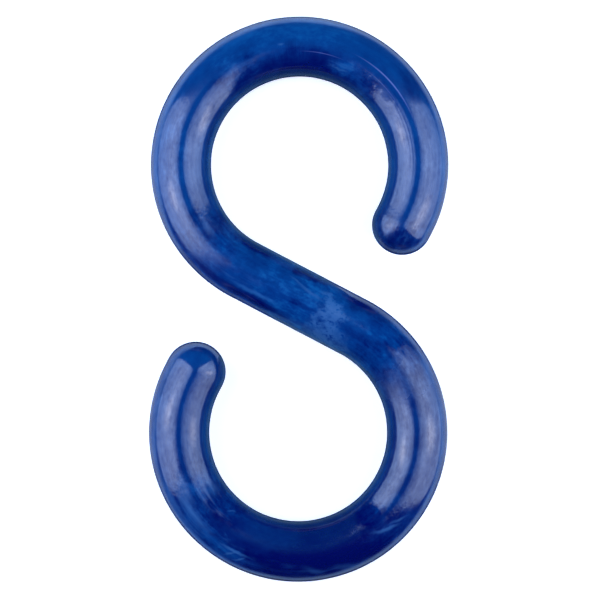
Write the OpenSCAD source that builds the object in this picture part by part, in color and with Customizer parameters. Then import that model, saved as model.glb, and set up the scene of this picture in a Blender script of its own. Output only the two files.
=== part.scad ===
// S hook for plastic chain: one moulded piece, a round rod bent into two open eyes.
//
// The hook lies flat in the XY plane, long side along Y, resting on z = 0 with its middle at the
// origin. It looks the same after half a turn about Z, so one half is modelled and repeated.
//
// Each eye is three quarters of a circle that runs off the shank without a kink, so its tip comes
// back square to the shank. The mouth left between them is (eye_d - rod_d) / 2 - tip_lead wide.

/* [Rod] */
// Diameter of the round rod
rod_d = 8; // [5:0.5:11]

/* [Eyes] */
// Inside diameter of each eye
eye_d = 24; // [18:0.5:40]

/* [Shank] */
// Length of the straight run between the two eyes
shank_l = 16.5; // [12:0.5:40]

/* [Tips] */
// Length of the straight lead between an eye and its rounded end
tip_lead = 0.8; // [0.2:0.1:3]

/* [Parting line] */
// Width of the raised line where the mould halves meet
seam_w = 0.4; // [0.2:0.05:0.8]
// Height that the line stands proud of the rod
seam_h = 0.07; // [0.03:0.01:0.15]

/* [Hidden] */
$fn = 96;

// Radius of an eye's centre line
eye_r = (eye_d + rod_d) / 2;
// Turn of each eye, from its tip round to the shank
eye_turn = 270;
// Lean of the shank from the X axis that brings both eyes onto the Y axis
shank_lean = atan2(shank_l / 2, eye_r);

// Round rod with the parting line standing out on both sides, level with its middle
module rod_section() {
    circle(d = rod_d);
    square([rod_d + 2 * seam_h, seam_w], center = true);
}

// Straight rod from the XZ plane towards -Y
module straight_rod(length) {
    rotate([90, 0, 0]) linear_extrude(length) rod_section();
}

// Rod bent round the Z axis, starting on +X and turning towards +Y
module bent_rod(radius, turn) {
    rotate_extrude(angle = turn) translate([radius, 0]) rod_section();
}

// Rounded end: the outer half of the section spun half a turn, so the parting line goes round it
module round_end() {
    rotate(180) rotate_extrude(angle = 180) intersection() {
        rod_section();
        translate([0, -rod_d]) square(2 * rod_d);
    }
}

// Straight lead and rounded end, where the rod starts towards -Y
module tip() {
    straight_rod(tip_lead);
    translate([0, -tip_lead, 0]) round_end();
}

// One eye about its own centre, with the shank to join at its -X side
module open_eye() {
    rotate(180 - eye_turn) {
        bent_rod(eye_r, eye_turn);
        translate([eye_r, 0, 0]) tip();
    }
}

// Half the hook with its shank upright: half the shank from the origin, and the eye at its top
module half_hook() {
    translate([0, shank_l / 2, 0]) {
        straight_rod(shank_l / 2);
        translate([eye_r, 0, 0]) open_eye();
    }
}

// Both halves, lying flat and turned so that the eyes stand one above the other along Y
module s_hook() {
    color("#0b3f94") translate([0, 0, rod_d / 2]) rotate(90 - shank_lean)
        for (half_turn = [0, 180]) rotate(half_turn) half_hook();
}

s_hook();
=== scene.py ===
# %% [markdown]
# # S hook in moulded plastic
#
# This lesson dresses one small part: an S hook for plastic chain, moulded in one piece from glossy
# deep blue plastic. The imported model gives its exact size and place. We build a finer skin over
# it, give the skin a finish, and light it the way small glossy things are lit in a studio.

# %% Load the frame
from math import radians

import bpy
import numpy as np
from mathutils import Euler, Matrix, Vector


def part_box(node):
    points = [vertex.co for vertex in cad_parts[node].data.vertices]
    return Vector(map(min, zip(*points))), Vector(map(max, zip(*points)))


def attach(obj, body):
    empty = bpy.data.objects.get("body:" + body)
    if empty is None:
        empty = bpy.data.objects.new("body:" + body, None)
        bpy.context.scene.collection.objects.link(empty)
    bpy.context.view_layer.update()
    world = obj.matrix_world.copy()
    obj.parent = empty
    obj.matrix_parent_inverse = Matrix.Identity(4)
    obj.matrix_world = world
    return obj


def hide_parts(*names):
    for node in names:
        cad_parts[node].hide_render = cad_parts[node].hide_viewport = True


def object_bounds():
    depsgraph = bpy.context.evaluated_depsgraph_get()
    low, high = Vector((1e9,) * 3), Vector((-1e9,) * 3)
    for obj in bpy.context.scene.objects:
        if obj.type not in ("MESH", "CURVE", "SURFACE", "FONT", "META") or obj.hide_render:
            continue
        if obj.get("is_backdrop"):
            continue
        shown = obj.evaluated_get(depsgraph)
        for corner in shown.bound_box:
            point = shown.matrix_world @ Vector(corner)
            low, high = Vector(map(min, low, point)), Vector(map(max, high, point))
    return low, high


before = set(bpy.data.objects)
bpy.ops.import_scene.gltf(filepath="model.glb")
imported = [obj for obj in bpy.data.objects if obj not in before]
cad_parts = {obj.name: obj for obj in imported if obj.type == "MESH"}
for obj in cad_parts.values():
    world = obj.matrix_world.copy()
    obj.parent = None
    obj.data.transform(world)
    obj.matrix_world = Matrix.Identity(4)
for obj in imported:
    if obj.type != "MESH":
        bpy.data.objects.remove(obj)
cad_box = [list(corner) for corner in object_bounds()]
MM = 0.001
print("packed model, mm:", np.round(np.subtract(cad_box[1], cad_box[0]) / MM, 2))

# %% [markdown]
# ## Sizes
#
# The hook is drawn with very few numbers, and its box already holds most of them. The box's
# height is the rod's diameter. Its width is an eye from rim to rim. Its length adds the distance
# between the eyes, and from that the half shank follows by Pythagoras, because the shank meets
# each eye at a right angle to the eye's radius. Only the parting line and the tip's lead are
# too small to read off the box, so they are given here.

# %% Driving sizes, in millimetres
SEAM_HEIGHT = 0.07
SEAM_WIDTH = 0.40
TIP_LEAD = 0.80
EYE_TURN = radians(270)

low, high = (np.array(corner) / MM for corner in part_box("s_hook"))
ROD_R = (high[2] - low[2]) / 2
EYE_R = (high[0] - low[0]) / 2 - ROD_R - SEAM_HEIGHT
EYE_Y = (high[1] - low[1]) / 2 - EYE_R - ROD_R - SEAM_HEIGHT
HALF_SHANK = np.sqrt(EYE_Y**2 - EYE_R**2)
SHANK_TURN = np.pi / 2 - np.arctan2(HALF_SHANK, EYE_R)
HALF_LENGTH = HALF_SHANK + EYE_R * EYE_TURN + TIP_LEAD
print(f"rod {2 * ROD_R:.2f} mm, eye radius {EYE_R:.2f} mm")
print(f"half shank {HALF_SHANK:.2f} mm, path {2 * HALF_LENGTH:.1f} mm")

# %% [markdown]
# ## Camera
#
# A flat thing is best seen from straight above. The camera stands about 300 mm over the hook with
# a long lens, a degree and a half off the plumb line, which makes the near eye a hair larger. The
# lens follows from the scale: so many pixels of a 600 pixel picture to each millimetre at 300 mm.

# %% Camera
CAMERA_PLACE = (0.06, -8.30, 304.0)
CAMERA_TILT = (1.540, -0.026, 0.313)
SENSOR = 36.0
PIXELS = 600
PIXELS_PER_MM = 7.42902
SCALE_DISTANCE = 300

camera_data = bpy.data.cameras.new("camera")
camera_data.sensor_width = SENSOR
camera_data.lens = SENSOR * (PIXELS_PER_MM * SCALE_DISTANCE) / PIXELS
camera_data.clip_start = 0.01
camera = bpy.data.objects.new("camera", camera_data)
camera.location = Vector(CAMERA_PLACE) * MM
camera.rotation_euler = Euler([radians(a) for a in CAMERA_TILT], "XYZ")
bpy.context.scene.collection.objects.link(camera)
bpy.context.scene.camera = camera
print(f"lens {camera_data.lens:.1f} mm at {CAMERA_PLACE[2]:.0f} mm")

# %% [markdown]
# ## The rod's path
#
# A real hook like this is moulded, but its shape is that of a bent rod: straight in the shank,
# then three quarters of a circle at each end. We could draw that with a Bezier curve. A formula
# keeps it exact, and it hands us the distance along the rod, which the finish needs later.

# %% Path of the centre line
def turned(x, y, angle):
    """x and y turned about the origin: the new x is x cos - y sin, the new y is x sin + y cos."""
    return x * np.cos(angle) - y * np.sin(angle), x * np.sin(angle) + y * np.cos(angle)


def centre_line(s):
    """Place and direction of the rod's middle, s millimetres from the middle of the shank.

    Up to half the shank the path runs straight. Past it, the path follows a circle about the
    eye's centre, and the angle gone round is the distance over the radius. Past the eye's turn
    it runs straight again. The other half is the same with its signs changed, and the whole is
    then turned so that the eyes stand one above the other."""
    distance = np.abs(s)
    round_eye = np.clip((distance - HALF_SHANK) / EYE_R, 0, EYE_TURN)
    lead = np.clip(distance - HALF_SHANK - EYE_R * EYE_TURN, 0, None)
    x = EYE_R * (1 - np.cos(round_eye)) + lead * np.sin(EYE_TURN)
    y = np.minimum(distance, HALF_SHANK) + EYE_R * np.sin(round_eye) + lead * np.cos(EYE_TURN)
    half = np.where(s < 0, -1.0, 1.0)
    place = turned(half * x, half * y, SHANK_TURN)
    direction = turned(np.sin(round_eye), np.cos(round_eye), SHANK_TURN)
    return np.stack(place, -1), np.stack(direction, -1)


print("path ends at, mm:", centre_line(HALF_LENGTH)[0].round(2))

# %% [markdown]
# ## The rod's section
#
# The section is a circle with a fine raised line on each side. That line is where the two halves
# of the mould met. Its angles are packed closely there and spread evenly over the rest.

# %% Section
SEAM_HALF_ANGLE = SEAM_WIDTH / 2 / ROD_R
SEAM_STEPS = (0, 0.35, 0.6, 0.78, 0.9, 1.0, 1.25)
SHOULDER = 0.4
ARC_STEPS = 41


def half_section():
    """Angles from the bottom of the rod, round one side, to its top.

    Evenly spread angles fill each quarter up to the parting line, whose own steps are shares of
    its half width."""
    seam = np.array(SEAM_STEPS) * SEAM_HALF_ANGLE
    quarter = np.linspace(seam[-1], np.pi / 2, ARC_STEPS)[1:]
    upper = np.concatenate([seam, quarter])
    return np.concatenate([-upper[:0:-1], upper])


def section_radius(angle):
    """Distance of the surface from the rod's middle: the rod's radius, plus the parting line's
    height where the angle from the level is within its half width. Its shoulders are rounded by
    the smooth step, 3 times the square less 2 times the cube."""
    share = np.abs(angle) / SEAM_HALF_ANGLE
    rise = np.clip((1 - share) / SHOULDER, 0, 1)
    return ROD_R + SEAM_HEIGHT * rise * rise * (3 - 2 * rise)


side_angles = half_section()
print(f"{len(side_angles)} points up one side, ridge to {section_radius(0.0) - ROD_R:.2f} mm")

# %% [markdown]
# ## The skin
#
# Now the section is carried along the path. Each point is the path's place, plus a step to the
# side, plus a step up. At a rounded end the path stops and the section spins half a turn on the
# spot, which closes the rod with a half ball. Both are whole-array sums, with no loop over points.
# A ring every third of a millimetre or so keeps each flat within two thousandths of a millimetre
# of the true curve, and the whole under 200,000 triangles.

# %% Rod and ends as grids of points
RINGS = 481
END_STEPS = 40


def to_the_left(direction):
    """The level direction a quarter turn to the left of another: (-y, x)."""
    return np.stack([-direction[..., 1], direction[..., 0]], -1)


def carried(place, left, angle, side):
    """Points of the section at a place on the path: side is 1 for the left half, -1 for the right.
    The step to the side is the radius times the angle's cosine, the step up times its sine."""
    radius = section_radius(angle)
    level = place + left * (side * radius * np.cos(angle))[..., None]
    up = np.broadcast_to(ROD_R + radius * np.sin(angle), level.shape[:-1])
    return np.concatenate([level, up[..., None]], -1)


s_rings = np.linspace(-HALF_LENGTH, HALF_LENGTH, RINGS)
place, direction = centre_line(s_rings)
left = to_the_left(direction)
right_half = carried(place[:, None], left[:, None], side_angles, -1.0)
left_half = carried(place[:, None], left[:, None], side_angles[-2:0:-1], 1.0)
rod = np.concatenate([right_half, left_half], 1)
around = rod.shape[1]
print("rod grid", rod.shape)


def spun_end(end):
    """Points of one rounded end: the section's side spun half a turn about the upright through
    the path's end. Poles and the two sides that the rod already has are left out."""
    place, direction = centre_line(np.array(end * HALF_LENGTH))
    spin = np.linspace(0, np.pi, END_STEPS + 1)[1:-1]
    facing = np.stack(turned(end * direction[0], end * direction[1], spin), -1)
    return carried(place, to_the_left(facing)[:, None], side_angles[1:-1], -1.0)


ends = {end: spun_end(end) for end in (-1, 1)}
print("end grids", ends[1].shape)

# %% [markdown]
# ## Straight coordinates
#
# A finish that was made by plastic flowing along the rod, or by handling, runs with the rod. So
# each point also keeps where it would lie if the rod were pulled straight: the distance along,
# the step to the left and the step up. The finish reads these three numbers as its coordinates.

# %% Straightened places of the same points
side_radius = section_radius(side_angles)
across = side_radius * np.cos(side_angles)
upward = side_radius * np.sin(side_angles)
ring_across = np.concatenate([-across, across[-2:0:-1]])
ring_upward = np.concatenate([upward, upward[-2:0:-1]])
rod_straight = np.stack(np.broadcast_arrays(s_rings[:, None], ring_across, ring_upward), -1)


def straight_end(end):
    """The end's points on the straight rod: along by the sine of the spin, across by its cosine."""
    spin = np.linspace(0, np.pi, END_STEPS + 1)[1:-1, None]
    along = end * (HALF_LENGTH + across[1:-1] * np.sin(spin))
    sideways = -end * across[1:-1] * np.cos(spin)
    return np.stack(np.broadcast_arrays(along, sideways, upward[1:-1]), -1)


straight = [rod_straight, straight_end(-1), straight_end(1)]
straight = np.concatenate([grid.reshape(-1, 3) for grid in straight])
points = np.concatenate([grid.reshape(-1, 3) for grid in (rod, ends[-1], ends[1])])
print(len(points), "points")

# %% [markdown]
# ## Gentle waves
#
# No moulding is perfectly round: it shrinks a little unevenly as it cools. On a glossy rod the
# reflections show it at once. A few long, very shallow waves press the surface in by a hundredth
# of a millimetre or two. They are drawn on the straight coordinates, so they have no seam.

# %% Shallow waves pressed into the skin
rng = np.random.default_rng(7)
WAVES = 14
WAVE_LENGTHS = (3.0, 11.0)
WAVE_DEPTH = 0.022


def waves(at):
    """Sum of sines along seeded directions, each with its own length and phase, scaled to 0..1."""
    lengths = rng.uniform(*WAVE_LENGTHS, WAVES)
    aims = rng.normal(size=(WAVES, 3)) * (1.0, 0.8, 0.8)
    aims /= np.linalg.norm(aims, axis=1, keepdims=True)
    phases = rng.uniform(0, 2 * np.pi, WAVES)
    total = np.sin(at @ (2 * np.pi * aims / lengths[:, None]).T + phases).sum(1)
    return (total - total.min()) / np.ptp(total)


centres = centre_line(np.clip(straight[:, 0], -HALF_LENGTH, HALF_LENGTH))[0]
middle = np.concatenate([centres, np.full((len(points), 1), ROD_R)], 1)
reach = points - middle
reach /= np.linalg.norm(reach, axis=1, keepdims=True)
points = points - reach * (WAVE_DEPTH * waves(straight))[:, None]
print(f"waves up to {WAVE_DEPTH:.3f} mm deep")

# %% [markdown]
# ## Faces
#
# Neighbouring points of a grid make a four-cornered face, and the numbers of its corners are
# plain sums on the grid's numbers. The grid closes on itself round the rod. Each end shares its
# first and last row with the rod, and its two poles are closed by fans of triangles.

# %% Faces from the grids
rod_ids = np.arange(rod.shape[0] * around).reshape(rod.shape[0], around)
TOP = len(side_angles) - 1


def quads(ids):
    """Four-cornered faces between neighbours of a grid of point numbers, turned outwards."""
    return np.stack([ids[:-1, :-1], ids[1:, :-1], ids[1:, 1:], ids[:-1, 1:]], -1).reshape(-1, 4)


def end_faces(end, first):
    """Faces of one end: its grid between the rod's two sides, and a fan of triangles at each pole."""
    ring = rod_ids[-1] if end > 0 else rod_ids[0]
    right = ring[: TOP + 1]
    left = np.concatenate([ring[:1], ring[:TOP - 1:-1]])
    start, stop = (right, left) if end > 0 else (left, right)
    inner = first + np.arange(ends[end].shape[0] * ends[end].shape[1]).reshape(ends[end].shape[:2])
    rows = np.concatenate([start[None, 1:-1], inner, stop[None, 1:-1]])
    bottom = np.stack([np.full(len(rows) - 1, ring[0]), rows[1:, 0], rows[:-1, 0]], -1)
    top = np.stack([rows[:-1, -1], rows[1:, -1], np.full(len(rows) - 1, ring[TOP])], -1)
    return quads(rows), np.concatenate([bottom, top])


body = quads(np.concatenate([rod_ids, rod_ids[:, :1]], 1))
count = rod_ids.size
low_quads, low_fans = end_faces(-1, count)
high_quads, high_fans = end_faces(1, count + ends[-1].shape[0] * ends[-1].shape[1])
faces = np.concatenate([body, low_quads, high_quads]).tolist()
faces += np.concatenate([low_fans, high_fans]).tolist()
triangles = 2 * (len(body) + len(low_quads) + len(high_quads)) + len(low_fans) + len(high_fans)
print(triangles, "triangles")

# %% [markdown]
# ## The hook as one object
#
# The straight coordinates go into the mesh as an attribute, so they stay with it wherever the
# part is used. The object stays at the origin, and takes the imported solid's place in the frame.

# %% Mesh and object
mesh = bpy.data.meshes.new("moulded_hook")
mesh.from_pydata((points * MM).tolist(), [], faces)
mesh.update()
mesh.polygons.foreach_set("use_smooth", np.ones(len(mesh.polygons), bool))
straight_places = mesh.attributes.new("straight_mm", "FLOAT_VECTOR", "POINT")
straight_places.data.foreach_set("vector", straight.astype(np.float32).ravel())
hook = bpy.data.objects.new("moulded_hook", mesh)
bpy.context.scene.collection.objects.link(hook)
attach(hook, "root")
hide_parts("s_hook")
print(hook.name, "replaces s_hook")

# %% [markdown]
# ## Helpers for node trees
#
# Colours are easiest to choose as the hex codes of a paint program, but the renderer adds light,
# so it needs them linear. The second helper adds a node, sets it, joins its inputs in one go and
# hands back one of its outputs, ready to be joined to the next. An input goes by its name, or by
# its number from 0 up where the node has several of one name. The third fills a colour ramp.

# %% Helpers for colours and nodes
def linear(colour):
    """An sRGB hex colour as linear red, green, blue and an alpha of 1."""
    part = np.array([int(colour[i:i + 2], 16) / 255 for i in (1, 3, 5)])
    part = np.where(part <= 0.04045, part / 12.92, ((part + 0.055) / 1.055) ** 2.4)
    return (*part, 1.0)


def add(tree, kind, inputs=(), out=0, **settings):
    """Adds a node, sets its properties, fills its inputs with values or links, and gives back
    one of its outputs."""
    node = tree.nodes.new("ShaderNode" + kind)
    for name, value in settings.items():
        setattr(node, name, value)
    for key, value in dict(inputs).items():
        if isinstance(value, bpy.types.NodeSocket):
            tree.links.new(value, node.inputs[key])
        else:
            node.inputs[key].default_value = value
    return node.outputs[out]


def spread(picked, shades):
    """Spreads hex colours over a colour ramp, each at the value that it is listed with."""
    stops = picked.node.color_ramp.elements
    while len(stops) < len(shades):
        stops.new(0.5)
    for stop, (value, shade) in zip(stops, shades.items()):
        stop.position = value
        stop.color = linear(shade)


print("middle grey, linear:", round(float(linear("#808080")[0]), 3))

# %% [markdown]
# ## The plastic and its coordinates
#
# A hook like this is injection moulded from ABS or a hard polypropylene, coloured right through.
# The polished mould gives it a skin like wet paint, and use then rubs that skin away in places.
# The material reads the straight coordinates made above. Laid flat, they become two numbers: the
# millimetres along the rod and the millimetres round it, counted from the line along its top.

# %% Coordinates on the plastic
plastic = bpy.data.materials.new("moulded_plastic")
plastic.use_nodes = True
tree = plastic.node_tree
straight_mm = add(tree, "Attribute", out="Vector", attribute_name="straight_mm")
level = add(tree, "SeparateXYZ", {0: straight_mm}).node.outputs
round_angle = add(tree, "Math", {0: level["Y"], 1: level["Z"]}, operation="ARCTAN2")
around_mm = add(tree, "Math", {0: round_angle, 1: ROD_R}, operation="MULTIPLY")
flat_mm = add(tree, "CombineXYZ", {0: level["X"], 1: around_mm})
print(f"{2 * HALF_LENGTH:.0f} mm along, {2 * np.pi * ROD_R:.1f} mm round")

# %% [markdown]
# ## Texture of the skin
#
# Handled plastic is never one colour. Rubbing leaves soft cells two or three millimetres long,
# the mould's own polish leaves a grain under a millimetre and a finer grit, and sliding on a
# chain draws fine streaks along the rod. Each is a noise field stretched to its real cell size and
# sharpened. Weighed against each other, and less half of their weights, they make one texture
# that is about 0 on average.

# %% Texture from four sizes of mark
def marks(cell, low, high, detail):
    """Marks of a given cell size in millimetres (along, across, up): a noise field, sharpened to
    0 below one level and 1 above another."""
    scaled = add(tree, "VectorMath", {0: straight_mm, 1: cell}, operation="DIVIDE")
    field = add(tree, "TexNoise", {"Vector": scaled, "Scale": 1.0, "Detail": detail})
    sharpened = {"Value": field, "From Min": low, "From Max": high}
    return add(tree, "MapRange", sharpened, interpolation_type="SMOOTHSTEP")


def weighed(shares, base):
    """A base value plus each field times its share."""
    for field, share in shares.items():
        base = add(tree, "Math", {0: field, 1: share, 2: base}, operation="MULTIPLY_ADD")
    return base


rubbed = marks((2.8, 1.9, 1.9), 0.28, 0.72, 3.0)
grain = marks((0.75, 0.55, 0.55), 0.25, 0.75, 2.0)
grit = marks((0.30, 0.24, 0.24), 0.25, 0.75, 1.0)
streaks = marks((5.0, 0.34, 0.34), 0.25, 0.75, 3.0)
SHARES = {rubbed: 0.42, grain: 0.20, grit: 0.08, streaks: 0.14}
texture = weighed(SHARES, base=-sum(SHARES.values()) / 2)
print(f"{len(SHARES)} sizes of mark, summing to {sum(SHARES.values()):.2f}")

# %% [markdown]
# ## Placed patches
#
# Some wear has its own place: where a chain link hung, where two hooks rubbed. Painted light
# and shade have their own places too. We could paint those by hand, but a few soft ovals do it.
# Real wear has no clean outline, so the coordinates that an oval reads are first pushed about by
# a noise. A strong push gives ragged borders, a slight push gives the borders of a streak.

# %% Ovals with wandering borders
def wandering(cell, reach, detail):
    """The flat coordinates read a little off, by up to half the reach, in cells of a given size."""
    field = {"Vector": straight_mm, "Scale": 1 / cell, "Detail": detail, "Roughness": 0.6}
    off = add(tree, "TexNoise", field, out="Color")
    off = add(tree, "VectorMath", {0: off, 1: (0.5, 0.5, 0.5)}, operation="SUBTRACT")
    moved = {0: off, 1: (reach, reach * 0.7, 0.0), 2: flat_mm}
    return add(tree, "VectorMath", moved, operation="MULTIPLY_ADD")


ragged_mm = wandering(cell=1.8, reach=5.0, detail=4.0)
wavy_mm = wandering(cell=1.5, reach=0.9, detail=2.0)


def patch(at, core, along, side, half_long, half_wide, strength, turn=0.0):
    """A soft oval patch. Its centre is given by the distance along the rod and by how far to the
    left it lies, from -1 at the right edge to 1 at the left. The value is the strength in the
    core, a share of the half sizes, and falls to 0 at the half sizes themselves."""
    centre = (along, ROD_R * np.arcsin(side), 0.0)
    away = add(tree, "VectorMath", {0: at, 1: centre}, operation="SUBTRACT")
    if turn:
        turning = {"Vector": away, "Angle": -radians(turn)}
        away = add(tree, "VectorRotate", turning, rotation_type="Z_AXIS")
    scaled = add(tree, "VectorMath", {0: away, 1: (half_long, half_wide, 1.0)}, operation="DIVIDE")
    distance = add(tree, "VectorMath", {0: scaled}, out="Value", operation="LENGTH")
    fall = {"Value": distance, "From Min": core, "From Max": 1.0, "To Min": strength, "To Max": 0.0}
    return add(tree, "MapRange", fall, interpolation_type="SMOOTHSTEP")


def layered(patches, at, core, base=0.0):
    """A base value with patches added to it one after another."""
    for size in patches:
        base = add(tree, "Math", {0: base, 1: patch(at, core, *size)}, operation="ADD")
    return base


print(len(tree.nodes), "nodes so far")

# %% [markdown]
# ## Wear, and painted light and shade
#
# Each row is one patch: millimetres along the rod, side, half length, half width, strength and,
# if it lies askew, its turn in degrees. Plus is lighter, minus is darker. Most rows are wear:
# some rubbed lighter, some polished darker, and the two ends of the shank and the outer bend are
# handled most. The lower bend is a deeper blue. Some rows are painted light and shade instead.
# The sides of the shank turn away from both softboxes, and the inner half of the upper bend faces
# the front, so they are painted darker as shade. The halves of both bends that face the back are
# painted lighter as light. Broad patches have ragged borders. Narrow ones, of either sign, have
# the borders of a streak.

# %% Where the blue is lighter or deeper
LIGHTER = (
    (0, 0.0, 22, 12.0, 0.30),
    (27, 0.0, 13, 12.0, 0.28),
    # Wear and painted light: the outer half of the upper bend is rubbed, and it faces the lit back.
    (50, 0.45, 21, 7.0, 0.32),
    (74, 0.0, 16, 12.0, 0.24),
    (-77, 0.0, 11, 12.0, 0.10),
    (-86, -0.1, 3, 6.0, 0.20),
    (-65, 0.1, 7, 8.0, 0.14),
    (-63, -0.5, 6, 1.8, 0.20),
    (-59, -0.6, 3, 1.6, 0.32),
    # Painted light: the inner half of the lower bend faces the back.
    (-54, 0.55, 6, 3.5, 0.18),
    (57.6, -0.55, 3.2, 2.0, 0.48),
)
DEEPER = (
    (-49, -0.2, 14, 12.0, -0.50),
    (-43, 0.1, 5, 7.0, -0.15),
    # Painted shade: the inner half of the upper bend faces the front, away from the light.
    (51, -0.85, 13, 5.5, -0.46),
    # Painted shade, these three rows: one side of the shank, turned away from both softboxes.
    (-8, -0.78, 4.0, 2.0, -0.42),
    (0.5, -0.80, 3.0, 1.4, -0.45),
    (8, -0.85, 4.5, 1.6, -0.45),
    (7, -0.5, 5.0, 2.5, -0.10),
    (-10, 0.25, 3.0, 1.2, -0.12),
    (66.5, 0.6, 3.5, 2.5, -0.25),
    (87.5, 0.3, 3, 6.0, -0.08),
    (-61.5, 0.8, 2.4, 1.3, -0.30),
    (-62.8, 0.18, 4.2, 3.2, -0.28),
    (-51.5, -0.78, 0.9, 1.4, -0.40),
)
NARROW = (
    # Painted shade: the other side of the shank, turned away from both softboxes.
    (6.0, 0.77, 9.0, 1.15, -0.55),
    (-0.5, 0.20, 3.4, 0.55, -0.25),
    (44.0, 0.62, 16.0, 1.6, 0.08),
    (5.6, 0.55, 4.6, 0.60, 0.30),
    (29.0, -0.86, 12.0, 0.8, -0.30),
)
PLAIN_TONE = 0.41
tone = layered(LIGHTER + DEEPER, ragged_mm, core=0.15, base=PLAIN_TONE)
tone = layered(NARROW, wavy_mm, core=0.0, base=tone)
print(len(LIGHTER) + len(DEEPER) + len(NARROW), "patches of tone")

# %% [markdown]
# ## How strongly the texture shows
#
# The texture is faint on skin that still has its polish and strong where the rod was handled. So
# its depth is a field of its own: low everywhere, raised in a few broad zones. In one place on the
# upper bend, very fine marks run across the rod.

# %% Handled zones and the colour value of wear and painted light
HANDLED = (
    (-15, 0.0, 9, 12.0, 1.0),
    (0, 0.0, 10, 12.0, 0.75),
    (14, 0.0, 7, 12.0, 0.9),
    (41, -0.4, 5, 4.5, 0.9),
    (62, -0.6, 4, 3.5, 1.0),
    (-66, 0.0, 7, 12.0, 1.0),
    (-39, -0.2, 5, 6.0, 0.9),
    (-55, -0.7, 8, 3.0, 0.8),
    (50, 0.0, 12, 8.0, 0.10),
    (27, 0.4, 8, 3.5, 0.50),
    (86.5, 0.0, 4, 12.0, 1.0),
)
CROSS_MARKED = (49.5, -0.38, 5, 2.4, 0.09)
LEAST_DEPTH = 0.32
HANDLED_DEPTH = 0.66
handled = layered(HANDLED, ragged_mm, core=0.3)
handled = add(tree, "Clamp", {"Value": handled})
depth = {0: handled, 1: HANDLED_DEPTH, 2: LEAST_DEPTH}
depth = add(tree, "Math", depth, operation="MULTIPLY_ADD")
ridges = marks((0.14, 3.0, 3.0), 0.35, 0.75, 1.0)
cross_marked = patch(ragged_mm, 0.3, *CROSS_MARKED)
cross_marks = add(tree, "Math", {0: ridges, 1: cross_marked}, operation="MULTIPLY")
# The colour value: wear, plus the painted light and painted shade of the tone patches.
wear_and_painted_light = add(tree, "Math", {0: texture, 1: depth, 2: tone}, operation="MULTIPLY_ADD")
wear_and_painted_light = add(tree, "Math", {0: wear_and_painted_light, 1: cross_marks}, operation="ADD", use_clamp=True)
print(len(HANDLED), "handled zones")

# %% [markdown]
# ## Frost, wisps and scratches
#
# Hard plastic turns pale where it is bruised. On the shank a patch has gone frosty, full of tiny
# pits that stayed blue. Wisps are single light rubs, and streaky rubs are wider ones, drawn out
# along the rod. A scratch is straight, so it reads the flat coordinates without any push.

# %% Where the pale marks lie
FROSTED = (
    (-5.6, 0.75, 4.2, 2.6, 0.85),
    (-4.8, 0.10, 2.4, 3.0, 1.00),
    (-4.0, -0.38, 2.0, 1.6, 0.80),
)
WISPS = (
    (5.6, 0.54, 4.6, 0.55, 0.50),
    (-18.0, 0.45, 4.2, 4.5, 0.15),
    (-68.8, -0.20, 3.6, 0.90, 0.70),
    (-66.0, -0.42, 5.5, 1.00, 0.75),
    (-68.0, -0.76, 6.0, 0.90, 0.55),
    (-61.5, -0.89, 10.0, 0.95, 0.95),
    (-67.0, 0.60, 2.4, 1.80, 0.45),
    (-1.0, -0.33, 2.8, 0.40, 0.60, -8),
    (1.2, -0.46, 1.8, 0.28, 0.50, -12),
    (-38.9, -0.34, 2.6, 0.38, 0.80, -25),
    (-37.0, -0.42, 1.8, 0.30, 0.50, -30),
    (-58.8, -0.47, 2.6, 0.40, 0.95),
    (-59.1, -0.62, 1.1, 0.26, 0.85, 50),
    (-57.8, -0.65, 1.1, 0.26, 0.85, 50),
    (15.8, -0.24, 2.8, 0.70, 0.40),
    (-62.0, 0.58, 1.0, 0.24, 0.50, 40),
    (-49.0, -0.62, 2.2, 0.70, 0.28, -35),
    (-45.0, -0.74, 2.8, 0.80, 0.30, -25),
    (57.4, -0.60, 1.6, 0.30, 0.55, 4),
    (48.3, 0.00, 0.7, 0.30, 0.60),
)
STREAKED = (
    (-62.0, -0.47, 7.5, 1.5, 0.45),
    (-66.0, 0.35, 6.0, 1.8, 0.25, 4),
    (-48.0, -0.75, 9.0, 1.4, 0.22, -10),
    (9.0, 0.30, 5.0, 1.4, 0.28, 4),
    (41.0, -0.30, 3.5, 1.6, 0.28),
    (57.3, -0.50, 2.6, 1.6, 0.45),
    (86.4, 0.40, 1.6, 1.8, 0.30),
    (86.6, -0.62, 1.6, 1.6, 0.25),
)
SCRATCHES = (
    (64.5, 0.045, 7.0, 0.16, 1.00),
    (54.0, -0.28, 4.0, 0.12, 0.40),
    (65.0, -0.21, 5.5, 0.12, 0.35),
)
print(len(FROSTED) + len(WISPS) + len(STREAKED) + len(SCRATCHES), "pale marks")

# %% [markdown]
# Each kind has its own grain. Frost is cut through by the pits and clouded besides, and a streaky
# rub is cut into fine streaks. All but the scratches are then summed into one field.

# %% Pale marks as fields
pits = marks((0.50, 0.42, 0.42), 0.20, 0.52, 1.0)
clouds = marks((1.3, 0.9, 0.9), 0.18, 0.52, 3.0)
fine_streaks = marks((3.6, 0.55, 0.55), 0.42, 0.70, 3.0)
frost = layered(FROSTED, ragged_mm, core=0.3)
frost = add(tree, "Math", {0: frost, 1: pits}, operation="MULTIPLY", use_clamp=True)
wisps = layered(WISPS, wavy_mm, core=0.0)
streaked = layered(STREAKED, ragged_mm, core=0.3)
pale = add(tree, "Math", {0: frost, 1: clouds, 2: wisps}, operation="MULTIPLY_ADD")
pale = {0: streaked, 1: fine_streaks, 2: pale}
pale = add(tree, "Math", pale, operation="MULTIPLY_ADD", use_clamp=True)
scratches = layered(SCRATCHES, flat_mm, core=0.0)
print(len(tree.nodes), "nodes so far")
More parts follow.
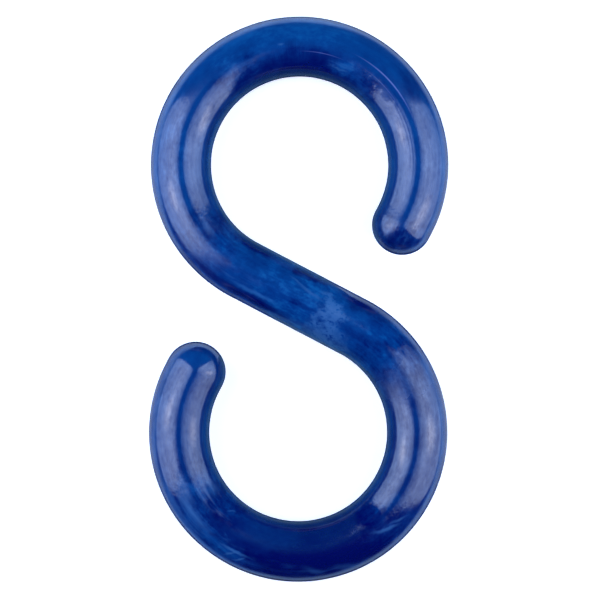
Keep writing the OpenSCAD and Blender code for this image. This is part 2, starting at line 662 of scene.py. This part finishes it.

# %% [markdown]
# ## Colour
#
# The value of wear and painted light picks the shade: deep navy where the skin is sound or
# painted in shade, a duller teal blue where it is rubbed or painted lit. Bruised plastic scatters
# more light, so frost is a greyed blue, and a fresh scratch is paler still. A mix of colours takes
# its two colours at inputs 6 and 7 and gives the result at output 2, because its other sockets
# serve plain numbers and vectors.

# %% Shades of the blue
SHADES = {0.0: "#010744", 0.35: "#021D53", 0.70: "#03356A", 1.0: "#0C5084"}
FROST = linear("#2A5480")
SCRATCH = linear("#5A6698")
blue = add(tree, "ValToRGB", {0: wear_and_painted_light})
spread(blue, SHADES)
RGBA_OUT = 2
colour = add(tree, "Mix", {0: pale, 6: blue, 7: FROST}, out=RGBA_OUT, data_type="RGBA")
colour = add(tree, "Mix", {0: scratches, 6: colour, 7: SCRATCH}, out=RGBA_OUT, data_type="RGBA")
print("shades", *SHADES.values())

# %% [markdown]
# ## Gloss
#
# Moulded ABS is nearly as smooth as its steel mould, so its roughness starts near 0.07, and
# handling brings it to 0.2. Hazy zones at the ends of the shank and on the upper tip are duller
# still, and there the bright bands blur away.

# %% Roughness
HAZY = (
    (-18.3, 0.0, 4.7, 12.0, 0.9),
    (-15.2, -0.3, 2.4, 1.3, 0.5),
    (13.5, 0.2, 4.5, 12.0, 0.6),
    (85.6, -0.35, 2.2, 2.6, 0.7),
)
MOULDED_ROUGH = 0.07
WORN_ROUGH = 0.20
HAZY_ROUGH = 0.30
PALE_HAZE = 0.6
haze = layered(HAZY, ragged_mm, core=0.4)
haze = add(tree, "Math", {0: pale, 1: PALE_HAZE, 2: haze}, operation="MULTIPLY_ADD", use_clamp=True)
rubbing = add(tree, "Math", {0: handled, 1: texture}, operation="MULTIPLY")
polish = {"Value": rubbing, "From Min": -0.3, "From Max": 0.4}
polish = add(tree, "MapRange", polish | {"To Min": MOULDED_ROUGH, "To Max": WORN_ROUGH})
roughness = add(tree, "Mix", {0: haze, 2: polish, 3: HAZY_ROUGH})
print(f"roughness {MOULDED_ROUGH} as moulded, {WORN_ROUGH} worn, {HAZY_ROUGH} in the haze")

# %% [markdown]
# Wear also weakens the gloss itself. A dulled patch breaks up a band's end, and the fine streaks
# comb it, so that some gloss lives on in them. Three scored lines cut through a band lengthwise.

# %% Shine
DULLED = (
    (-63.4, 0.52, 8.0, 3.2, 1.10),
    (-12.2, -0.26, 4.2, 3.0, 1.10),
    (-14.4, 0.50, 4.4, 2.4, 0.80),
    (-14.8, -0.55, 4.6, 1.9, 0.50),
    (-9.0, -0.87, 3.0, 1.0, 0.50),
    (12.8, -0.20, 3.8, 1.4, 1.00),
    (64.5, -0.22, 5.0, 1.0, 0.80),
    (-78.0, 0.45, 9.0, 3.5, 0.22),
    (-78.0, -0.88, 9.0, 1.5, 0.45),
    (43.0, -0.18, 2.2, 1.2, 0.85),
    (-39.4, 0.35, 3.2, 3.0, 1.20),
    (16.0, -0.75, 3.0, 1.6, 0.50),
)
SCORED = (
    (71.5, -0.215, 12.0, 0.17, 0.75),
    (71.0, -0.31, 9.0, 0.12, 0.45),
    (-75.0, 0.30, 9.0, 0.10, 0.25),
)
LEAST_SHINE = 0.25
dulled = layered(DULLED, ragged_mm, core=0.3)
combed = add(tree, "MapRange", {"Value": fine_streaks, "To Min": 1.0, "To Max": 0.70})
dulled = add(tree, "Math", {0: dulled, 1: combed}, operation="MULTIPLY")
dulled = layered(SCORED, flat_mm, core=0.0, base=dulled)
shine = weighed({rubbed: 0.14, grain: 0.15, grit: 0.08, streaks: 0.13}, base=LEAST_SHINE)
shine = add(tree, "Mix", {0: dulled, 2: shine, 3: 0.0})
print(len(DULLED), "dulled patches,", len(SCORED), "scored lines")

# %% [markdown]
# The bump is as shallow as real handling marks, eight thousandths of a millimetre. It shows little
# on skin that still has its polish, and more where the rod was handled.

# %% Bump
MARK_DEPTH = 0.008
LEAST_BUMP = 0.32
HANDLED_BUMP = 0.60
strength = {0: handled, 1: HANDLED_BUMP, 2: LEAST_BUMP}
strength = add(tree, "Math", strength, operation="MULTIPLY_ADD")
relief = weighed({rubbed: 0.8, grain: 1.0, grit: 0.4, streaks: 0.5}, base=0.0)
relief = add(tree, "Math", {0: relief, 1: strength}, operation="MULTIPLY")
bump = add(tree, "Bump", {"Height": relief, "Distance": MARK_DEPTH * MM, "Strength": 1.0})
print(f"marks {MARK_DEPTH} mm deep")

# %% [markdown]
# ## Putting the plastic together
#
# One shader takes it all: the colour, the roughness, the shine and the bump. How strongly the
# plastic bends light is the same everywhere, so that is set on the shader itself. ABS and
# polystyrene have an index of 1.54 to 1.59, rounded up here, and the shine turns the reflection
# down from there.

# %% The plastic itself
PLASTIC_IOR = 1.6
skin = tree.nodes["Principled BSDF"]
skin.inputs["IOR"].default_value = PLASTIC_IOR
finish = {"Base Color": colour, "Roughness": roughness, "Specular IOR Level": shine, "Normal": bump}
for name, value in finish.items():
    tree.links.new(value, skin.inputs[name])
mesh.materials.append(plastic)
print(len(tree.nodes), "nodes")

# %% [markdown]
# ## Floor
#
# The hook lies on a sheet of white board. The board glows a little, as a board lit from behind
# does, so that it stays an even white. It is left out of reflections, because the bright floor
# that the gloss should show is part of the surroundings below.

# %% White board
FLOOR_HALF = 3000 * MM
BOARD_GLOW = 0.6
board = bpy.data.materials.new("white_board")
board.use_nodes = True
board_shader = board.node_tree.nodes["Principled BSDF"]
board_shader.inputs["Base Color"].default_value = linear("#F3F3F3")
board_shader.inputs["Roughness"].default_value = 1.0
board_shader.inputs["Emission Color"].default_value = linear("#FFFFFF")
board_shader.inputs["Emission Strength"].default_value = BOARD_GLOW
floor_mesh = bpy.data.meshes.new("floor")
corners = np.array([(-1, -1, 0), (1, -1, 0), (1, 1, 0), (-1, 1, 0)]) * FLOOR_HALF
floor_mesh.from_pydata(corners.tolist(), [], [(0, 1, 2, 3)])
floor_mesh.materials.append(board)
floor = bpy.data.objects.new("floor", floor_mesh)
floor.visible_glossy = False
bpy.context.scene.collection.objects.link(floor)
floor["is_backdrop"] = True
print(f"board {2 * FLOOR_HALF:.1f} m square")

# %% [markdown]
# ## Shade inside the eyes
#
# Inside an eye the board is boxed in by the rod, so less light reaches it, and the inner rims
# look darker than the outer ones. Right beside the rod it is darkest, and a few millimetres off
# it a little light gets in, which draws a fine light line along each inner rim. A round card in
# each eye stands for that shaded board. Every point of it knows its distance from the rod, and
# that picks its colour. Only reflections see the cards: the camera and the soft light pass by.

# %% Shaded cards seen only in the gloss
CARD_R = 14.5
CARD_HEIGHT = 0.02
CARD_POINTS = 49
CLEARANCE = 10.0
SHADED = {0.06: "#142C3E", 0.20: "#58848E", 0.30: "#628CA3", 0.55: "#457C9C", 0.85: "#12699F"}
shaded = bpy.data.materials.new("shaded_board")
shaded.use_nodes = True
beside = add(shaded.node_tree, "Attribute", out="Fac", attribute_name="clearance")
shade = add(shaded.node_tree, "ValToRGB", {0: beside})
spread(shade, SHADED)
shaded_shader = shaded.node_tree.nodes["Principled BSDF"]
shaded_shader.inputs["Base Color"].default_value = linear("#000000")
shaded_shader.inputs["Roughness"].default_value = 1.0
shaded_shader.inputs["Emission Strength"].default_value = 1.0
shaded.node_tree.links.new(shade, shaded_shader.inputs["Emission Color"])


def round_card(eye_y):
    """Points of a disc about an eye, as a grid with no pole: a square from -1 to 1 whose x is
    multiplied by the root of 1 - y squared / 2, and the other way round."""
    x, y = np.meshgrid(*[np.linspace(-1, 1, CARD_POINTS)] * 2)
    disc = np.stack([x * np.sqrt(1 - y * y / 2), y * np.sqrt(1 - x * x / 2)], -1)
    return disc * CARD_R + (0, eye_y)


for name, eye_y in {"upper_card": EYE_Y, "lower_card": -EYE_Y}.items():
    disc = round_card(eye_y).reshape(-1, 2)
    apart = np.linalg.norm(disc[:, None] - place[None], axis=-1).min(1) - ROD_R
    lifted = np.concatenate([disc, np.full((len(disc), 1), CARD_HEIGHT)], 1)
    card_ids = np.arange(CARD_POINTS**2).reshape(CARD_POINTS, CARD_POINTS)
    card_mesh = bpy.data.meshes.new(name)
    card_mesh.from_pydata((lifted * MM).tolist(), [], quads(card_ids)[:, ::-1].tolist())
    clearance = card_mesh.attributes.new("clearance", "FLOAT", "POINT")
    clearance.data.foreach_set("value", (apart / CLEARANCE).astype(np.float32))
    card_mesh.materials.append(shaded)
    card = bpy.data.objects.new(name, card_mesh)
    card.visible_camera = False
    card.visible_diffuse = False
    card.visible_shadow = False
    bpy.context.scene.collection.objects.link(card)
    card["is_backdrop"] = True
    print(name, f"at y {eye_y:.1f}, up to {apart.max():.1f} mm from the rod")

# %% [markdown]
# ## Softboxes
#
# The two pale bands along each limb are two softboxes, one on each side, seen in the gloss. A
# plain area light would give flat bands with square ends. A real softbox is a cloth in front of a
# lamp, so it is bright in the middle, brighter still before the lamp itself, and dim at its
# edges. We draw that on the light with nodes. Its own coordinates run from 0 to 1 across and up.

# %% Light on the cloth
CORNER = 0.18
EDGE = 0.032


def cloth_light(lamp_tree, box):
    """Light of a softbox at each place on its cloth.

    The place across is first divided by the cloth's width at that height, so the cloth narrows
    upwards. Each pool of light falls off smoothly from its centre to its half sizes, leaning
    sideways by its slant, and adds its own tint. The sum is cut to a rectangle with round
    corners: past the corner's centre, the distance to it tells inside from outside."""
    on_cloth = add(lamp_tree, "NewGeometry", out="Parametric")
    sides = add(lamp_tree, "SeparateXYZ", {0: on_cloth}).node.outputs
    drifting = {0: sides["Y"], 1: -box["drift"], 2: sides["X"]}
    across = add(lamp_tree, "Math", drifting, operation="MULTIPLY_ADD")
    across = add(lamp_tree, "Math", {0: across, 1: 0.5}, operation="SUBTRACT")
    narrowing = {0: sides["Y"], 1: -box["narrowing"], 2: 1.0}
    width = add(lamp_tree, "Math", narrowing, operation="MULTIPLY_ADD")
    across = add(lamp_tree, "Math", {0: across, 1: width}, operation="DIVIDE")
    up = add(lamp_tree, "Math", {0: sides["Y"], 1: 0.5}, operation="SUBTRACT")
    place = add(lamp_tree, "CombineXYZ", {0: across, 1: up})

    light = (0, 0, 0)
    for x, y, half_wide, half_tall, slant, radiance, tint in box["pools"]:
        away = add(lamp_tree, "VectorMath", {0: place, 1: (x, y, 0)}, operation="SUBTRACT")
        wide = {0: away, 1: (1 / half_wide, 0, 0)}
        tall = {0: away, 1: (-slant / half_tall, 1 / half_tall, 0)}
        wide = add(lamp_tree, "VectorMath", wide, out="Value", operation="DOT_PRODUCT")
        tall = add(lamp_tree, "VectorMath", tall, out="Value", operation="DOT_PRODUCT")
        share = add(lamp_tree, "CombineXYZ", {0: wide, 1: tall})
        share = add(lamp_tree, "VectorMath", {0: share}, out="Value", operation="LENGTH")
        fall = {"Value": share, "To Min": radiance, "To Max": 0.0}
        pool = add(lamp_tree, "MapRange", fall, interpolation_type="SMOOTHSTEP")
        tinted = {0: pool, 1: linear(tint)[:3], 2: light}
        light = add(lamp_tree, "VectorMath", tinted, operation="MULTIPLY_ADD")

    corner = (0.5 - CORNER, 0.5 - CORNER, 0)
    past = add(lamp_tree, "VectorMath", {0: place}, operation="ABSOLUTE")
    past = add(lamp_tree, "VectorMath", {0: past, 1: corner}, operation="SUBTRACT")
    past = add(lamp_tree, "VectorMath", {0: past, 1: (0, 0, 0)}, operation="MAXIMUM")
    past = add(lamp_tree, "VectorMath", {0: past}, out="Value", operation="LENGTH")
    inside = {"Value": past, "From Min": CORNER, "From Max": CORNER - EDGE}
    inside = add(lamp_tree, "MapRange", inside, interpolation_type="SMOOTHSTEP")
    return add(lamp_tree, "VectorMath", {0: light, "Scale": inside}, operation="SCALE")


print(f"corners round over {CORNER:.0%} of the cloth")

# %% [markdown]
# Each softbox stands at one side and leans over the hook. Foot and top are its distance to the
# side and its height, in millimetres. A pool of light is its centre on the cloth, its half
# sizes, its slant, its strength and its tint. The cloth itself glows blue like its surroundings,
# and the light through its middle is nearly white. An area light spreads its energy over its
# cloth and over all directions, so an energy of pi times the area keeps the strengths of the
# pools as they are written.

# %% Two softboxes
SOFTBOXES = {
    "left_softbox": {
        "foot": (-148.0, -15.0),
        "top": (-64.0, 400.0),
        "shift": 6.0,
        "turn": 2.7,
        "width": 211.0,
        "narrowing": 0.42,
        "drift": -0.11,
        "pools": (
            (0.0, -0.08, 1.82, 1.22, 0.0, 2.78, "#A2CCFF"),
            (0.0, -0.08, 1.82, 0.60, 0.0, 2.05, "#F4F2FF"),
            (0.08, -0.19, 0.12, 0.17, 0.0, 3.40, "#FFFAFC"),
        ),
    },
    "right_softbox": {
        "foot": (190.0, -35.0),
        "top": (62.0, 420.0),
        "shift": 30.0,
        "turn": -14.0,
        "width": 269.0,
        "narrowing": 0.35,
        "drift": -0.13,
        "pools": (
            (0.0, -0.08, 1.82, 1.22, 0.3, 2.20, "#A8D0FF"),
            (0.0, -0.08, 1.82, 0.60, 0.3, 1.66, "#F5F6FF"),
            (-0.16, -0.19, 0.12, 0.17, 0.0, 3.20, "#FFFAFC"),
        ),
    },
}
for name, box in SOFTBOXES.items():
    foot_x, foot_z = box["foot"]
    top_x, top_z = box["top"]
    lamp_data = bpy.data.lights.new(name, "AREA")
    lamp_data.shape = "RECTANGLE"
    lamp_data.size = box["width"] * MM
    lamp_data.size_y = np.hypot(top_x - foot_x, top_z - foot_z) * MM
    lamp_data.energy = np.pi * lamp_data.size * lamp_data.size_y
    lamp_data.use_nodes = True
    lamp_tree = lamp_data.node_tree
    emission = lamp_tree.nodes["Emission"]
    lamp_tree.links.new(cloth_light(lamp_tree, box), emission.inputs["Color"])

    upright = Vector((top_x - foot_x, 0, top_z - foot_z)).normalized()
    across = Vector((0, np.sign(foot_x), 0))
    turn = Matrix.Rotation(radians(box["turn"]), 3, "Z")
    upright, across = turn @ upright, turn @ across
    stand = Matrix((across, upright, across.cross(upright))).transposed().to_4x4()
    stand.translation = Vector(((foot_x + top_x) / 2, box["shift"], (foot_z + top_z) / 2)) * MM
    lamp = bpy.data.objects.new(name, lamp_data)
    lamp.matrix_world = stand
    bpy.context.scene.collection.objects.link(lamp)
    print(name, f"{lamp_data.size:.2f} by {lamp_data.size_y:.2f} m")

# %% [markdown]
# ## Surroundings
#
# Everything else that the gloss shows is a colour for each direction. A direction has a height,
# from -1 straight down to 1 straight up, and a compass point. Dividing its part along Y by its
# level part gives the compass point as one number, from the front to the back.

# %% Directions, seen from the hook
world = bpy.data.worlds.new("studio")
world.use_nodes = True
room = world.node_tree
heading = add(room, "SeparateXYZ", {0: add(room, "TexCoord", out="Generated")}).node.outputs
steepness = add(room, "Math", {0: heading["Z"], 1: heading["Z"]}, operation="MULTIPLY")
NEVER_ZERO = 1.0001
level_part = add(room, "Math", {0: NEVER_ZERO, 1: steepness}, operation="SUBTRACT")
flatness = add(room, "Math", {0: level_part}, operation="SQRT")
backward = add(room, "Math", {0: heading["Y"], 1: flatness}, operation="DIVIDE")
off_side = add(room, "Math", {0: backward}, operation="ABSOLUTE")
print("backward runs from -1 at the front to 1 at the back")

# %% [markdown]
# Overhead the room is dark blue, a little lighter at the back.

# %% Dark room above
overhead = {"Value": heading["Y"], "From Min": -0.3, "From Max": 0.3}
overhead = add(room, "MapRange", overhead, interpolation_type="SMOOTHSTEP")
shades = {6: linear("#072789"), 7: linear("#197CCB")}
above = add(room, "Mix", {0: overhead} | shades, out=RGBA_OUT, data_type="RGBA")
print("overhead, front to back:", *[np.round(shade[:3], 3) for shade in shades.values()])

# %% [markdown]
# Below the horizon lies the lit board. It is brightest far away, where it is seen at a slant and
# well outside the hook's own shade. It darkens towards the front, and most of all towards the
# point straight under the rod, where the hook touches it.

# %% Lit board below
FAR_BOARD = linear("#92C4FF")[:3]
NEAR_BOARD = linear("#B2BCC4")[:3]
UNDER_HOOK = linear("#193050")
far_light = {"Value": off_side, "To Min": 2.95, "To Max": 3.6}
far_light = add(room, "MapRange", far_light)
near_light = {"Value": backward, "From Min": -1.0, "From Max": 0.0, "To Min": 0.35, "To Max": 1.0}
near_light = add(room, "MapRange", near_light)
far = add(room, "VectorMath", {0: FAR_BOARD, "Scale": far_light}, operation="SCALE")
near = add(room, "VectorMath", {0: NEAR_BOARD, "Scale": near_light}, operation="SCALE")
down = add(room, "MapRange", {"Value": heading["Z"], "From Min": -0.10, "From Max": -0.88})
below = add(room, "Mix", {0: down, 6: far, 7: near}, out=RGBA_OUT, data_type="RGBA")

unlit = {"Value": off_side, "From Min": 0.15, "From Max": 0.55}
unlit = add(room, "MapRange", unlit, interpolation_type="SMOOTHSTEP")
touching = {"Value": heading["Z"], "From Min": -0.79, "From Max": -0.93, "To Max": unlit}
touching = add(room, "MapRange", touching, interpolation_type="SMOOTHSTEP")
below = add(room, "Mix", {0: touching, 6: below, 7: UNDER_HOOK}, out=RGBA_OUT, data_type="RGBA")
print("board, far and near:", np.round(FAR_BOARD, 2), np.round(NEAR_BOARD, 2))

# %% [markdown]
# The border between room and board is soft, and it is not level. At the front the dark room
# reaches well below it, and so it does, by less, in two opposite corners.

# %% Horizon between the two
horizon = {"Value": backward, "From Min": -1.0, "From Max": 0.1, "To Min": 0.32, "To Max": -0.03}
horizon = add(room, "MapRange", horizon)
behind = {"Value": backward, "From Min": 0.5, "From Max": 1.0, "To Max": 0.09}
behind = add(room, "MapRange", behind)
diagonal = add(room, "Math", {0: heading["X"], 1: heading["Y"]}, operation="MULTIPLY")
diagonal = add(room, "Math", {0: diagonal, 1: level_part}, operation="DIVIDE")
corner = {"Value": diagonal, "From Min": 0.20, "From Max": 0.45, "To Max": 0.24}
corner = add(room, "MapRange", corner)
horizon = add(room, "Math", {0: horizon, 1: behind}, operation="ADD")
horizon = add(room, "Math", {0: horizon, 1: corner}, operation="ADD")
sunk = add(room, "Math", {0: horizon, 1: heading["Z"]}, operation="ADD")
sunk = {"Value": sunk, "From Min": 0.0, "From Max": -0.40}
sunk = add(room, "MapRange", sunk, interpolation_type="SMOOTHSTEP")
seen = add(room, "Mix", {0: sunk, 6: above, 7: below}, out=RGBA_OUT, data_type="RGBA")
room.links.new(seen, room.nodes["Background"].inputs["Color"])
room.nodes["Background"].inputs["Strength"].default_value = 1.0
bpy.context.scene.world = world
bpy.context.scene.view_settings.view_transform = "Standard"
print(len(room.nodes), "nodes in the room")

# %% [markdown]
# ## Measure and finish
#
# A dressed part must still fit where the plain one did. So both boxes are measured, and the
# printed gap on each side should be small and never negative.

# %% Measure and finish
visual_box = [list(corner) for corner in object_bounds()]
gaps = np.subtract(visual_box, cad_box) * [[1], [-1]] / MM
print("gap inside the packed model's box, mm:", np.round(gaps, 3).tolist())
